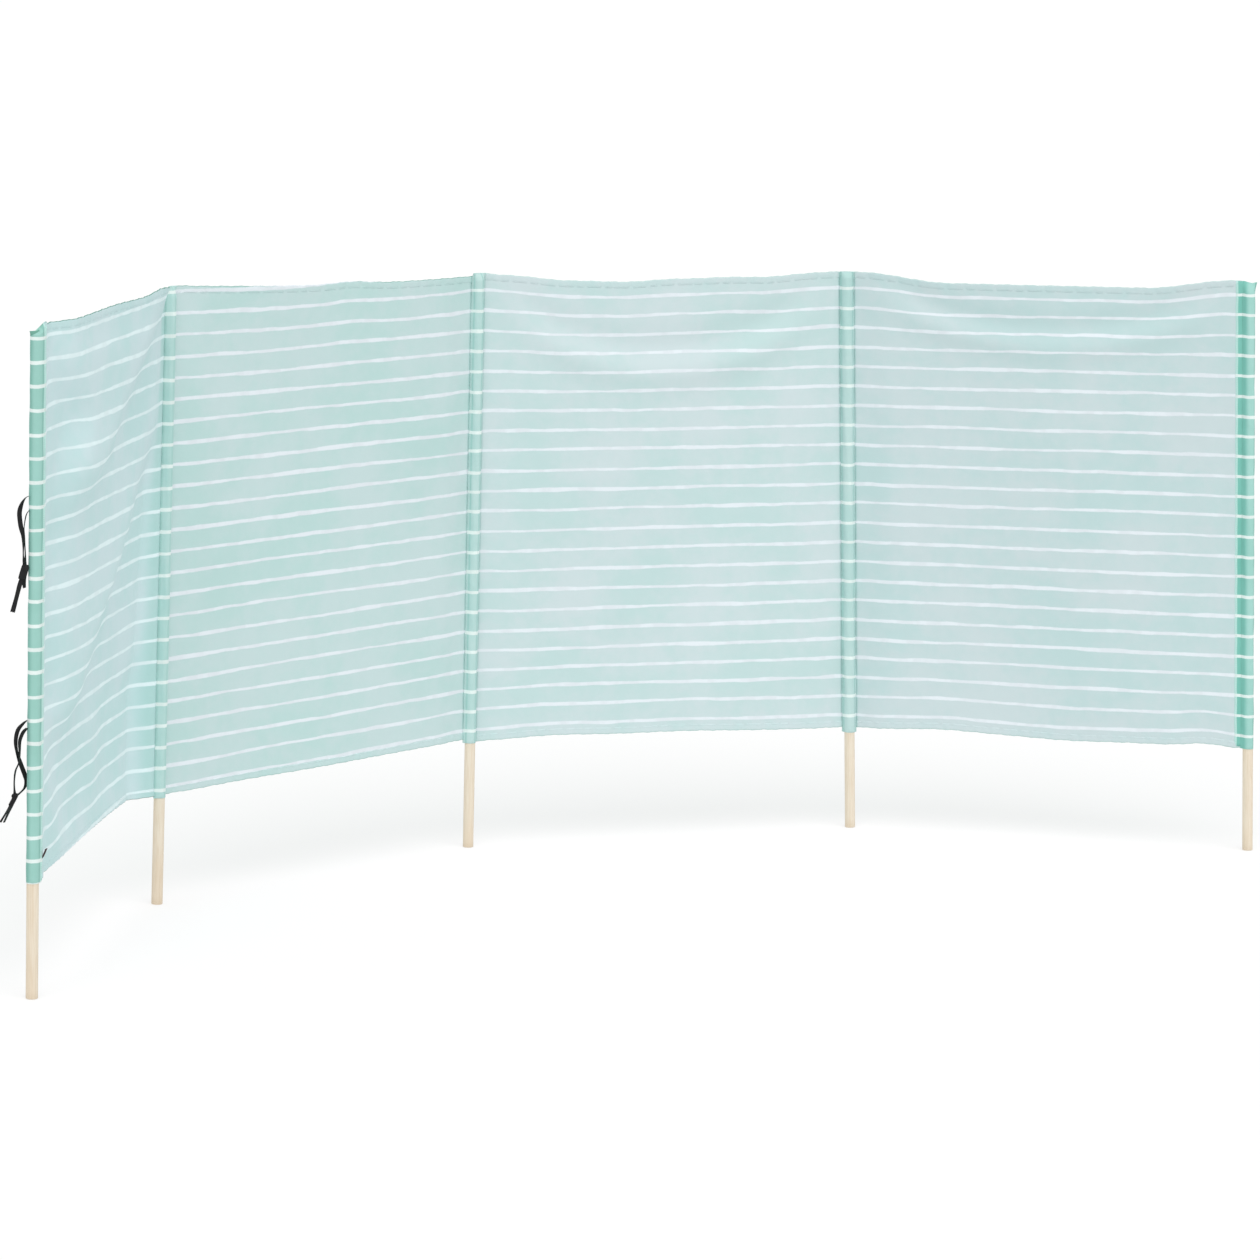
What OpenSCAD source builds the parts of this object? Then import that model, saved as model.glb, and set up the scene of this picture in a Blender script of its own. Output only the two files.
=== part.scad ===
// Beach windbreak: five round wooden poles in sewn cloth pockets, four cloth bays
// set up in an arc. Millimetres, +Z up, origin at the centre of the middle pole's foot.
// The hollow side of the arc faces -Y.

/* [Poles] */
// Length of a pole, cloth pocket top included
pole_h = 1200; // [1000:10:1500]
// Diameter of a pole
pole_d = 22; // [18:1:28]
// Bevel round the cut foot of a pole
foot_bevel = 0.8; // [0.4:0.1:1.5]

/* [Layout] */
// Distance from pole to pole, at the height set below
bay_w = 851; // [700:1:1200]
// Share of a pole's height at which the bays have that width
bay_at = 0.55; // [0.3:0.05:0.7]
// Heading of bay 1, left end to the second pole
dir_1 = 80.3; // [70:0.1:88]
// Heading of bay 2
dir_2 = 47.2; // [42:0.1:56]
// Heading of bay 3
dir_3 = 21.8; // [12:0.1:30]
// Heading of bay 4
dir_4 = -9.3; // [-20:0.1:-4]
// How far the top of the left end pole leans to +X
lean_1x = 5; // [-20:1:20]
// How far the top of the left end pole leans to +Y
lean_1y = -10; // [-20:1:20]
// How far the top of the second pole leans to +X
lean_2x = 14; // [-20:1:30]
// How far the top of the second pole leans to +Y
lean_2y = 24; // [-20:1:30]
// How far the top of the fourth pole leans to +X
lean_4x = -44; // [-50:1:0]
// How far the top of the fourth pole leans to +Y
lean_4y = 0; // [-20:1:20]
// How far the top of the right end pole leans to +X
lean_5x = -46; // [-50:1:0]
// How far the top of the right end pole leans to +Y
lean_5y = 18; // [-20:1:30]

/* [Cloth] */
// Height of the pockets' lower end above the poles' feet
sleeve_z = 214; // [150:1:300]
// Wall of a cloth pocket
sleeve_t = 1.2; // [0.8:0.1:2]
// Room between a pole and its pocket
sleeve_gap = 0.3; // [0.2:0.1:0.6]
// How far a pocket reaches below the hem of the cloth
sleeve_drop = 5; // [3:1:12]
// Thickness of a cloth panel with its ripples
panel_t = 3; // [2:0.5:8]
// How far a panel bellies out to the back
belly = 6; // [0:1:25]
// Height of the folded hems
hem_h = 14; // [8:1:25]
// Thickness of the folded hems
hem_t = 4; // [3:0.5:8]
// Width of the stitched flap beside the end pockets
flap_w = 12; // [8:1:20]
// Thickness of the stitched flaps
flap_t = 4; // [3:0.5:6]

/* [Tape ties] */
// Height of the tape loop at the foot of the left end pocket
tab_z = 254; // [240:1:400]
// Thickness of the gathered tape
tape_d = 4.4; // [3:0.2:5]
// Radius of the knots
knot_r = 6.5; // [5:0.5:9]

/* [Hidden] */
wood = [0.91, 0.84, 0.72];
mint = [0.77, 0.87, 0.86];
deep_mint = [0.56, 0.80, 0.74];
black = [0.08, 0.08, 0.09];

headings = [dir_1, dir_2, dir_3, dir_4];
function along(i) = bay_w * [cos(headings[i]), sin(headings[i])];
leans = [[lean_1x, lean_1y], [lean_2x, lean_2y], [0, 0], [lean_4x, lean_4y],
         [lean_5x, lean_5y]];
// plan points of the poles' axes at the height where the bays are measured
mids = [-along(1) - along(0), -along(1), [0, 0], along(2), along(2) + along(3)];
feet = [for (i = [0 : 4]) mids[i] - leans[i] * bay_at];

pole_r = pole_d / 2;
sleeve_ri = pole_r + sleeve_gap;
sleeve_ro = sleeve_ri + sleeve_t;
cap_t = 12;
// first distance from a pole's axis that is free for cloth
seam_r = sleeve_ro + sleeve_gap;
hem_z = sleeve_z + sleeve_drop;

// plan point on the axis of pole i at height z
function axis_at(i, z) = feet[i] + leans[i] * z / pole_h;

// plan point in bay i, s along from the left pole (negative: back from the right
// pole), w out from the panel's middle surface
function bay_point(i, s, w, z) =
    let (a = axis_at(i, z), b = axis_at(i + 1, z), c = norm(b - a),
         e = (b - a) / c, n = [-e[1], e[0]], q = s >= 0 ? s : c + s)
    a + e * q + n * (w + belly * sin(180 * q / c));

// stand-up band of cloth in bay i between s0 and s1, z0 and z1, t thick
module band(i, s0, s1, z0, z1, t, cols) {
    c0 = norm(axis_at(i + 1, z0) - axis_at(i, z0));
    c1 = norm(axis_at(i + 1, z1) - axis_at(i, z1));
    function dist(k, s, c) = s >= 0 ? s : c + s;
    pts = [for (j = [0 : cols]) for (w = [-t / 2, t / 2]) for (lv = [0, 1])
        let (z = lv == 0 ? z0 : z1, c = lv == 0 ? c0 : c1,
             a = dist(0, s0, c), b = dist(0, s1, c),
             q = bay_point(i, a + (b - a) * j / cols, w, z))
        [q[0], q[1], z]];
    n = cols;
    faces = concat(
        [for (j = [0 : n - 1]) let (p = 4 * j) each [
            [p, p + 1, p + 4], [p + 1, p + 5, p + 4],          // hollow side
            [p + 2, p + 6, p + 3], [p + 3, p + 6, p + 7],      // back
            [p, p + 4, p + 2], [p + 2, p + 4, p + 6],          // bottom
            [p + 1, p + 3, p + 5], [p + 3, p + 7, p + 5]]],    // top
        [[0, 2, 1], [1, 2, 3],
         [4 * n, 4 * n + 1, 4 * n + 2], [4 * n + 1, 4 * n + 3, 4 * n + 2]]);
    polyhedron(points = pts, faces = faces, convexity = 4);
}

// stands its children on pole i's foot, along its axis
module on_pole(i) {
    tilt = atan2(norm(leans[i]), pole_h);
    turn = norm(leans[i]) == 0 ? 0 : atan2(leans[i][1], leans[i][0]);
    translate([feet[i][0], feet[i][1], 0]) rotate([0, tilt, turn]) children();
}

module pole(i) {
    color(wood) on_pole(i) {
        cylinder(h = foot_bevel, r1 = pole_r - foot_bevel, r2 = pole_r, $fn = 48);
        translate([0, 0, foot_bevel])
            cylinder(h = pole_h - cap_t - sleeve_gap - foot_bevel, r = pole_r, $fn = 48);
    }
}

module sleeve(i, tone) {
    color(tone) on_pole(i) difference() {
        translate([0, 0, sleeve_z]) cylinder(h = pole_h - sleeve_z, r = sleeve_ro, $fn = 48);
        translate([0, 0, sleeve_z - 1])
            cylinder(h = pole_h - cap_t - sleeve_z + 1, r = sleeve_ri, $fn = 48);
    }
}

// where the cloth of bay i starts and ends, from its own poles' axes
starts = [seam_r + flap_w + 0.4, seam_r, seam_r, seam_r];
ends = [-seam_r, -seam_r, -seam_r, -seam_r - flap_w - 0.4];

module panel(i) {
    color(mint) band(i, starts[i], ends[i], hem_z + hem_h, pole_h - hem_h, panel_t, 16);
}
module top_hem(i) {
    color(mint) band(i, starts[i], ends[i], pole_h - hem_h, pole_h - 1, hem_t, 16);
}
module bottom_hem(i) {
    color(mint) band(i, starts[i], ends[i], hem_z, hem_z + hem_h, hem_t, 16);
}
module end_flap_1() {
    color(deep_mint) band(0, seam_r, seam_r + flap_w, hem_z, pole_h - 1, flap_t, 2);
}
module end_flap_5() {
    color(deep_mint) band(3, -seam_r - flap_w, -seam_r, hem_z, pole_h - 1, flap_t, 2);
}

// folded tape sewn to the hollow side of the left flap
module tape_loop() {
    s = seam_r + flap_w / 2;
    q = bay_point(0, s, -flap_t / 2 - 1.5, tab_z);
    p = bay_point(0, s + 10, -flap_t / 2 - 1.5, tab_z);
    color(black) translate([q[0], q[1], tab_z])
        rotate([0, 0, atan2(p[1] - q[1], p[0] - q[0])])
            translate([-4, -1.2, 0]) cube([16, 2.4, 14]);
}

// tape routes beside the left end pole: x and y from its axis, z up
route_upper_a = [[-11, -9, 906], [-17, -10, 902], [-23, -10, 892], [-27, -9, 876],
                 [-25, -8, 854], [-21, -7, 836], [-20, -7, 818], [-20, -8, 800],
                 [-18, -9, 787], [-17, -9, 776], [-20, -9, 764], [-25, -10, 750],
                 [-31, -10, 726], [-38, -9, 699]];
route_upper_b = [[-11, -9, 880], [-15, -6, 873], [-18, -1, 862], [-20, 0, 846],
                 [-19, 1, 830], [-18, 0, 814], [-17, -2, 798], [-17, -5, 786],
                 [-17, -8, 776], [-18, -5, 766], [-19, -4, 754], [-18, -4, 742]];
route_lower_a = [[-11, -9, 506], [-18, -10, 500], [-27, -10, 488], [-31, -8, 468],
                 [-29, -4, 447], [-23, 2, 425], [-17, 8, 406], [-14, 11, 393],
                 [-17, 8, 381], [-25, 1, 372], [-33, -3, 366], [-41, -4, 349],
                 [-49, -4, 335], [-58, -5, 320]];
route_lower_b = [[-11, -8, 492], [-18, -7, 484], [-24, -6, 468], [-24, -6, 448],
                 [-25, -7, 430], [-31, -8, 414], [-33, -8, 396], [-33, -6, 380],
                 [-33, -3, 366], [-37, -1, 352], [-44, 1, 337], [-52, 2, 319]];

function beside_pole_1(p) =
    let (q = axis_at(0, p[2])) [q[0] + p[0], q[1] + p[1], p[2]];
function unit(v) = v / norm(v);

// tube of 8 sides swept along a route
module tube(route, d) {
    path = [for (p = route) beside_pole_1(p)];
    n = len(path);
    pts = [for (k = [0 : n - 1])
        let (t = unit(path[min(k + 1, n - 1)] - path[max(k - 1, 0)]),
             u = unit(cross(t, [0, 1, 0])), v = cross(t, u))
        for (a = [0 : 45 : 315]) path[k] + d / 2 * (cos(a) * u + sin(a) * v)];
    faces = concat(
        [[for (k = [7 : -1 : 0]) k]],
        [for (k = [0 : n - 2]) for (j = [0 : 7]) let (m = (j + 1) % 8) each
            [[8 * k + j, 8 * k + m, 8 * k + 8 + j],
             [8 * k + m, 8 * k + 8 + m, 8 * k + 8 + j]]],
        [[for (k = [0 : 7]) 8 * (n - 1) + k]]);
    polyhedron(points = pts, faces = faces, convexity = 6);
}

module knot(p) {
    q = beside_pole_1(p);
    translate(q) sphere(r = knot_r, $fn = 32);
}

module tie_upper_a() { color(black) tube(route_upper_a, tape_d); }
module tie_upper_b() { color(black) tube(route_upper_b, tape_d); }
module tie_upper_knot() { color(black) knot([-17, -9, 776]); }
module tie_lower_a() { color(black) tube(route_lower_a, tape_d); }
module tie_lower_b() { color(black) tube(route_lower_b, tape_d); }
module tie_lower_knot() { color(black) knot([-33, -3, 366]); }

pole(0);  // pole_1
pole(1);  // pole_2
pole(2);  // pole_3
pole(3);  // pole_4
pole(4);  // pole_5
sleeve(0, deep_mint);  // sleeve_1
sleeve(1, mint);  // sleeve_2
sleeve(2, mint);  // sleeve_3
sleeve(3, mint);  // sleeve_4
sleeve(4, deep_mint);  // sleeve_5
panel(0);  // panel_1
panel(1);  // panel_2
panel(2);  // panel_3
panel(3);  // panel_4
top_hem(0);  // top_hem_1
top_hem(1);  // top_hem_2
top_hem(2);  // top_hem_3
top_hem(3);  // top_hem_4
bottom_hem(0);  // bottom_hem_1
bottom_hem(1);  // bottom_hem_2
bottom_hem(2);  // bottom_hem_3
bottom_hem(3);  // bottom_hem_4
end_flap_1();
end_flap_5();
tape_loop();
tie_upper_a();
tie_upper_b();
tie_upper_knot();
tie_lower_a();
tie_lower_b();
tie_lower_knot();
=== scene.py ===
import bpy
import math
import random
import numpy as np
from mathutils import Matrix, Vector


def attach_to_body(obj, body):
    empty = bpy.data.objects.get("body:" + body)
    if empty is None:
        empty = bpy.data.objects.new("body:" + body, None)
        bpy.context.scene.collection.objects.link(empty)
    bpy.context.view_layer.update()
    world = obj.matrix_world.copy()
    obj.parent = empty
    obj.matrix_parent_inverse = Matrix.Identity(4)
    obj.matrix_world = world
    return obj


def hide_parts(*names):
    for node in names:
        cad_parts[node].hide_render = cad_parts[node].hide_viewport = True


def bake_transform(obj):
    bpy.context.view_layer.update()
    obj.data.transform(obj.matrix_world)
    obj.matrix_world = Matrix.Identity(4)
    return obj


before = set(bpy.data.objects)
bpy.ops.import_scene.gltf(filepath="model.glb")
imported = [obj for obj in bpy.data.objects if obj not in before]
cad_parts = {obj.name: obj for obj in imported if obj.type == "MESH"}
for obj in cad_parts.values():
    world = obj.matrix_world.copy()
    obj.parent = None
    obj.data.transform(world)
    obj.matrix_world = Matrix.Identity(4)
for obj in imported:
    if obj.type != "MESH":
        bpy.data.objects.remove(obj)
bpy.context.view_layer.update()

# ------------------------------------------------------------------ layout, as in the CAD source
H = 1.2
BAY = 0.851
BAY_AT = 0.55
HEADINGS = [80.3, 47.2, 21.8, -9.3]
LEANS = [(0.005, -0.010), (0.014, 0.024), (0, 0), (-0.044, 0.0), (-0.046, 0.018)]
SLEEVE_Z = 0.214
HEM_Z = 0.219
POLE_R = 0.011
TUBE_R = 0.0118
FLAP = 0.012
PITCH = 0.0422


def along(i):
    a = math.radians(HEADINGS[i])
    return np.array([BAY * math.cos(a), BAY * math.sin(a)])


MIDS = [-along(1) - along(0), -along(1), np.zeros(2), along(2), along(2) + along(3)]
FEET = [MIDS[i] - np.array(LEANS[i]) * BAY_AT for i in range(5)]


def axis_at(i, z):
    return FEET[i] + np.array(LEANS[i]) * z / H


def pole_dir(i):
    v = np.array([LEANS[i][0], LEANS[i][1], H])
    return v / np.linalg.norm(v)


# ------------------------------------------------------------------ camera, first
cam_data = bpy.data.cameras.new("camera")
cam = bpy.data.objects.new("camera", cam_data)
bpy.context.scene.collection.objects.link(cam)
cam_data.sensor_width = 36.0
cam_data.lens = 133.3586
cam_data.clip_end = 500.0
th, rho = math.radians(8.74362), math.radians(1.38225)
fwd = Vector((0, math.cos(th), -math.sin(th)))
right = Vector((1, 0, 0))
up = right.cross(fwd)
cx = math.cos(rho) * right + math.sin(rho) * up
cy = -math.sin(rho) * right + math.cos(rho) * up
m = Matrix((cx, cy, -fwd)).transposed().to_4x4()
m.translation = Vector((0.32841, -9.59774, 1.94350))
cam.matrix_world = m
bpy.context.scene.camera = cam

view = bpy.context.scene.view_settings
view.view_transform = "Standard"
view.look = "None"


# ------------------------------------------------------------------ node material helpers
def srgb(r, g, b):
    def lin(c):
        c /= 255.0
        return c / 12.92 if c <= 0.04045 else ((c + 0.055) / 1.055) ** 2.4
    return (lin(r), lin(g), lin(b), 1.0)


class Nodes:
    def __init__(self, name):
        self.mat = bpy.data.materials.new(name)
        self.mat.use_nodes = True
        self.t = self.mat.node_tree
        self.t.nodes.clear()
        self.out = self.t.nodes.new("ShaderNodeOutputMaterial")
        self.bsdf = self.t.nodes.new("ShaderNodeBsdfPrincipled")
        self.t.links.new(self.bsdf.outputs[0], self.out.inputs[0])

    def link(self, a, b):
        self.t.links.new(a, b)

    def put(self, sock, v):
        if isinstance(v, bpy.types.NodeSocket):
            self.link(v, sock)
        else:
            sock.default_value = v

    def math(self, op, a, b=0.0, c=None, clamp=False):
        n = self.t.nodes.new("ShaderNodeMath")
        n.operation = op
        n.use_clamp = clamp
        self.put(n.inputs[0], a)
        self.put(n.inputs[1], b)
        if c is not None:
            self.put(n.inputs[2], c)
        return n.outputs[0]

    def combine(self, x, y, z=0.0):
        n = self.t.nodes.new("ShaderNodeCombineXYZ")
        self.put(n.inputs[0], x)
        self.put(n.inputs[1], y)
        self.put(n.inputs[2], z)
        return n.outputs[0]

    def noise(self, vec, scale=1.0, detail=2.0, rough=0.5):
        n = self.t.nodes.new("ShaderNodeTexNoise")
        self.link(vec, n.inputs["Vector"])
        n.inputs["Scale"].default_value = scale
        n.inputs["Detail"].default_value = detail
        n.inputs["Roughness"].default_value = rough
        return n.outputs["Fac"]

    def smooth(self, v, lo, hi, a=0.0, b=1.0):
        n = self.t.nodes.new("ShaderNodeMapRange")
        n.interpolation_type = "SMOOTHSTEP"
        self.put(n.inputs["Value"], v)
        self.put(n.inputs["From Min"], lo)
        self.put(n.inputs["From Max"], hi)
        self.put(n.inputs["To Min"], a)
        self.put(n.inputs["To Max"], b)
        return n.outputs["Result"]

    def mix(self, f, a, b, blend="MIX"):
        n = self.t.nodes.new("ShaderNodeMix")
        n.data_type = "RGBA"
        n.blend_type = blend
        self.put(n.inputs["Factor"], f)
        self.put(n.inputs[6], a)
        self.put(n.inputs[7], b)
        return n.outputs[2]

    def uv(self):
        n = self.t.nodes.new("ShaderNodeUVMap")
        n.uv_map = "cloth"
        s = self.t.nodes.new("ShaderNodeSeparateXYZ")
        self.link(n.outputs[0], s.inputs[0])
        return s.outputs[0], s.outputs[1]

    def bump(self, height, strength, distance, normal=None):
        n = self.t.nodes.new("ShaderNodeBump")
        n.inputs["Strength"].default_value = strength
        n.inputs["Distance"].default_value = distance
        self.link(height, n.inputs["Height"])
        if normal is not None:
            self.link(normal, n.inputs["Normal"])
        return n.outputs[0]


def cloth_material(name, base_a, base_b, stripe, seed, soft=0.0008, half=0.0034, strips=(), swell=0.0062):
    """Striped woven cloth. UV u runs along the cloth and v up it, in metres, with a stripe at each whole pitch of v."""
    k = Nodes(name)
    u, v = k.uv()
    row = k.math("ROUND", k.math("DIVIDE", v, PITCH))
    rs = k.math("MULTIPLY", row, 7.317)
    # each brushed stripe wanders, swells and tapers on its own
    slow = k.noise(k.combine(k.math("MULTIPLY", u, 2.3), rs, seed), 1.0, 1.0)
    mid = k.noise(k.combine(k.math("MULTIPLY", u, 16.0), rs, seed + 3.1), 1.0, 2.0)
    wide = k.noise(k.combine(k.math("MULTIPLY", u, 8.0), rs, seed + 9.7), 1.0, 2.0, 0.6)
    fine = k.noise(k.combine(k.math("MULTIPLY", u, 160.0), k.math("MULTIPLY", v, 160.0), seed), 1.0, 2.0)
    wob = k.math("ADD", k.math("MULTIPLY", k.math("SUBTRACT", slow, 0.5), 0.009),
                 k.math("MULTIPLY", k.math("SUBTRACT", mid, 0.5), 0.0050))
    centre = k.math("ADD", k.math("MULTIPLY", row, PITCH), wob)
    dist = k.math("ABSOLUTE", k.math("SUBTRACT", v, centre))
    hw = k.math("ADD", half, k.math("MULTIPLY", k.math("SUBTRACT", wide, 0.5), swell))
    hw = k.math("ADD", hw, k.math("MULTIPLY", k.math("SUBTRACT", fine, 0.5), 0.0011))
    mask = k.smooth(k.math("SUBTRACT", dist, hw), -soft, soft, 1.0, 0.0)
    # dyed ground, faintly mottled
    uvv = k.combine(u, v, seed)
    big = k.noise(uvv, 5.5, 3.0, 0.55)
    small = k.noise(uvv, 42.0, 3.0, 0.6)
    mottle = k.smooth(k.math("ADD", k.math("MULTIPLY", big, 0.75), k.math("MULTIPLY", small, 0.25)), 0.36, 0.64)
    ground = k.mix(mottle, base_a, base_b)
    # upright strips, where doubled or turned cloth beside a seam has another tone: (place along u, inner, outer, strength, colour)
    for at, lo, hi, much, colour in strips:
        near = k.smooth(k.math("ABSOLUTE", k.math("SUBTRACT", u, at)), lo, hi, much, 0.0)
        ground = k.mix(near, ground, colour)
    paint_tone = k.noise(k.combine(k.math("MULTIPLY", u, 30.0), rs, seed + 1.7), 1.0, 2.0)
    paint = k.mix(k.smooth(paint_tone, 0.4, 0.62), stripe, tuple(0.94 * c for c in stripe[:3]) + (1.0,))
    col = k.mix(mask, ground, paint)
    # plain weave: warp and weft threads, and the dusting of tone they give
    wu = k.math("SINE", k.math("MULTIPLY", u, 2 * math.pi / 0.0011))
    wv = k.math("SINE", k.math("MULTIPLY", v, 2 * math.pi / 0.0011))
    weave = k.math("MULTIPLY", wu, wv)
    tone = k.math("ADD", 0.985, k.math("MULTIPLY", weave, 0.018))
    col = k.mix(1.0, col, k.combine(tone, tone, tone), "MULTIPLY")
    k.link(col, k.bsdf.inputs["Base Color"])
    crumple = k.noise(uvv, 28.0, 4.0, 0.55)
    soft_folds = k.noise(k.combine(k.math("MULTIPLY", u, 1.0), k.math("MULTIPLY", v, 0.6), seed + 5.0), 9.0, 2.0, 0.5)
    n1 = k.bump(soft_folds, 0.35, 0.012)
    n2 = k.bump(crumple, 0.25, 0.0016, n1)
    n3 = k.bump(weave, 0.12, 0.0002, n2)
    k.link(n3, k.bsdf.inputs["Normal"])
    rough = k.math("ADD", 0.80, k.math("MULTIPLY", crumple, 0.12))
    k.link(rough, k.bsdf.inputs["Roughness"])
    k.bsdf.inputs["Sheen Weight"].default_value = 0.08
    k.bsdf.inputs["Sheen Roughness"].default_value = 0.5
    k.bsdf.inputs["Specular IOR Level"].default_value = 0.25
    return k.mat


# each bay's inner tone is the same cloth made lighter or darker per bay: painted light and painted shade for how the
# light falls on it
INNER = [(srgb(193, 224, 224), srgb(205, 226, 229)), (srgb(187, 217, 214), srgb(198, 219, 219)),
         (srgb(193, 218, 217), srgb(205, 220, 222)), (srgb(190, 215, 215), srgb(202, 217, 219))]
OUTER_A, OUTER_B = srgb(143, 206, 188), srgb(158, 211, 198)
STRIPE_IN, STRIPE_OUT = srgb(229, 237, 242), srgb(230, 243, 240)
# the seam tone is doubled cloth, darkened further with painted shade where cloth meets a pocket; the deep tone is
# painted shade; the pale tone is a painted highlight
SEAM_DOUBLED_AND_SHADE, SHADE_DEEP, HIGHLIGHT_PALE = srgb(156, 202, 195), srgb(124, 180, 168), srgb(194, 232, 226)
SEAM = 0.0145
SIDE, BACK_BY = SEAM * math.cos(math.radians(30)), SEAM * math.sin(math.radians(30))
# the first pocket's seam sits round to the front
P1_TURN = math.radians(53)
FRONT_BY = SEAM * math.sin(P1_TURN)
STARTS = [SEAM * math.cos(P1_TURN), SIDE, SIDE, SIDE]
ENDS = [SIDE, SIDE, SIDE, TUBE_R + 0.0006]
WIDTHS = [BAY - STARTS[i] - ENDS[i] for i in range(4)]
mat_inner, mat_outer = [], []
for i in range(4):
    seams = []
    # strips beside the inner pockets: doubled cloth, darkened further with painted shade
    if i > 0:
        seams.append((0.0, 0.001, 0.007, 0.6, SEAM_DOUBLED_AND_SHADE))
    if i == 0:
        # painted shade where the left bay turns hard into the second pocket, over the deeper tone of its doubled cloth
        seams.append((WIDTHS[0], 0.018, 0.046, 0.50, srgb(160, 209, 202)))
    elif i < 3:
        seams.append((WIDTHS[i], 0.001, 0.007, 0.6, SEAM_DOUBLED_AND_SHADE))
    # the first bay's stripes are brighter than the others: painted light against the shade that falls on that bay
    mat_inner.append(cloth_material(f"cloth_inner_{i + 1}", INNER[i][0], INNER[i][1], STRIPE_IN if i else srgb(229, 247, 249), 3.0 * i, 0.0013, strips=seams))
    mat_outer.append(cloth_material(f"cloth_outer_{i + 1}", OUTER_A, OUTER_B, STRIPE_OUT, 3.0 * i, 0.0006))
# pocket cloth: u starts at the left seam and runs round the front. Painted shade darkens it where the tube turns back
# to its seams
FRONT = 0.0493
BAND_A, BAND_B = srgb(180, 214, 210), srgb(190, 218, 215)
mat_band = [None,
            cloth_material("cloth_pocket_2", srgb(176, 214, 209), srgb(186, 218, 214), STRIPE_OUT, 21.0, 0.0010, swell=0.003,
                           strips=[(0.0010, 0.0020, 0.0060, 0.6, SEAM_DOUBLED_AND_SHADE), (0.0235, 0.0010, 0.0040, 0.45, SEAM_DOUBLED_AND_SHADE)]),
            cloth_material("cloth_pocket_3", BAND_A, BAND_B, STRIPE_OUT, 24.0, 0.0010, swell=0.003,
                           strips=[(0.0085, 0.0005, 0.0032, 0.75, SEAM_DOUBLED_AND_SHADE), (0.0294, 0.0005, 0.0030, 0.75, SEAM_DOUBLED_AND_SHADE)]),
            cloth_material("cloth_pocket_4", BAND_A, BAND_B, STRIPE_OUT, 27.0, 0.0010, swell=0.003,
                           strips=[(0.0060, 0.0015, 0.0050, 0.6, SEAM_DOUBLED_AND_SHADE), (0.0385, 0.0005, 0.0030, 0.85, SEAM_DOUBLED_AND_SHADE)]),
            None]
mat_front = cloth_material("cloth_pocket_outer", srgb(146, 206, 190), srgb(156, 211, 197), STRIPE_OUT, 31.0, 0.0008, 0.0030, swell=0.002)
# the end pockets: painted shade down the sides of each tube turned from the light, and on the first a painted highlight
# down its lit front
mat_end = [cloth_material("cloth_end_pocket_1", srgb(151, 200, 189), srgb(159, 206, 197), STRIPE_OUT, 34.0, 0.0009, 0.0031, swell=0.002,
                          strips=[(0.0, 0.0020, 0.0115, 0.85, SHADE_DEEP), (0.0788, 0.010, 0.020, 0.80, SHADE_DEEP),
                                  (0.0305, 0.0010, 0.0052, 0.60, SHADE_DEEP), (0.0395, 0.0045, 0.0070, 0.9, HIGHLIGHT_PALE)]), None, None, None,
           cloth_material("cloth_end_pocket_5", srgb(157, 208, 198), srgb(166, 213, 205), STRIPE_OUT, 37.0, 0.0009, 0.0031, swell=0.002,
                          strips=[(0.0, 0.010, 0.023, 0.85, srgb(118, 190, 176)), (0.0365, 0.0006, 0.0030, 0.85, srgb(122, 172, 162))])]
# the flaps: the first is made lighter, painted light; the last is made darker, painted shade, with a pale strip near
# its folded edge as painted light coming through the cloth
mat_flap = [cloth_material("cloth_flap_1", srgb(188, 230, 222), srgb(194, 233, 226), STRIPE_OUT, 44.0, 0.0009, 0.0031, swell=0.002), None, None, None,
            cloth_material("cloth_flap_5", srgb(120, 191, 177), srgb(128, 196, 183), STRIPE_OUT, 37.0, 0.0009, 0.0031, swell=0.002,
                           strips=[(0.0235, 0.0036, 0.0054, 0.95, HIGHLIGHT_PALE)])]
# a dark cloth that is painted shade, for the wedge in the first pocket's top corner
mat_shade_wedge = cloth_material("cloth_shade_wedge", srgb(92, 146, 130), srgb(112, 166, 150), STRIPE_OUT, 47.0, 0.0009, 0.0010, swell=0.001)
# the printed side rolls over the very edge of the hems; on the first two top hems it is darker, painted shade along the
# edge
mat_rim = [cloth_material(f"cloth_rim_{i + 1}", ca, cb, STRIPE_IN, 50.0 + i, 0.0009)
           for i, (ca, cb) in enumerate([(srgb(104, 154, 142), srgb(118, 166, 154)), (srgb(120, 172, 160), srgb(134, 184, 172)),
                                         (srgb(186, 214, 209), srgb(194, 219, 215)), (srgb(188, 214, 209), srgb(195, 219, 215))])]
# the bottom hems' rolled edge is darker all along: painted shade at the foot of the cloth, darkest on the first bay
mat_rim_low = [cloth_material(f"cloth_rim_low_{i + 1}", ca, cb, STRIPE_IN, 60.0 + i, 0.0009)
               for i, (ca, cb) in enumerate([(srgb(120, 150, 146), srgb(140, 166, 160)), (srgb(150, 190, 182), srgb(160, 198, 190)),
                                             (srgb(158, 198, 190), srgb(168, 204, 196)), (srgb(160, 198, 190), srgb(170, 204, 196))])]


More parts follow.
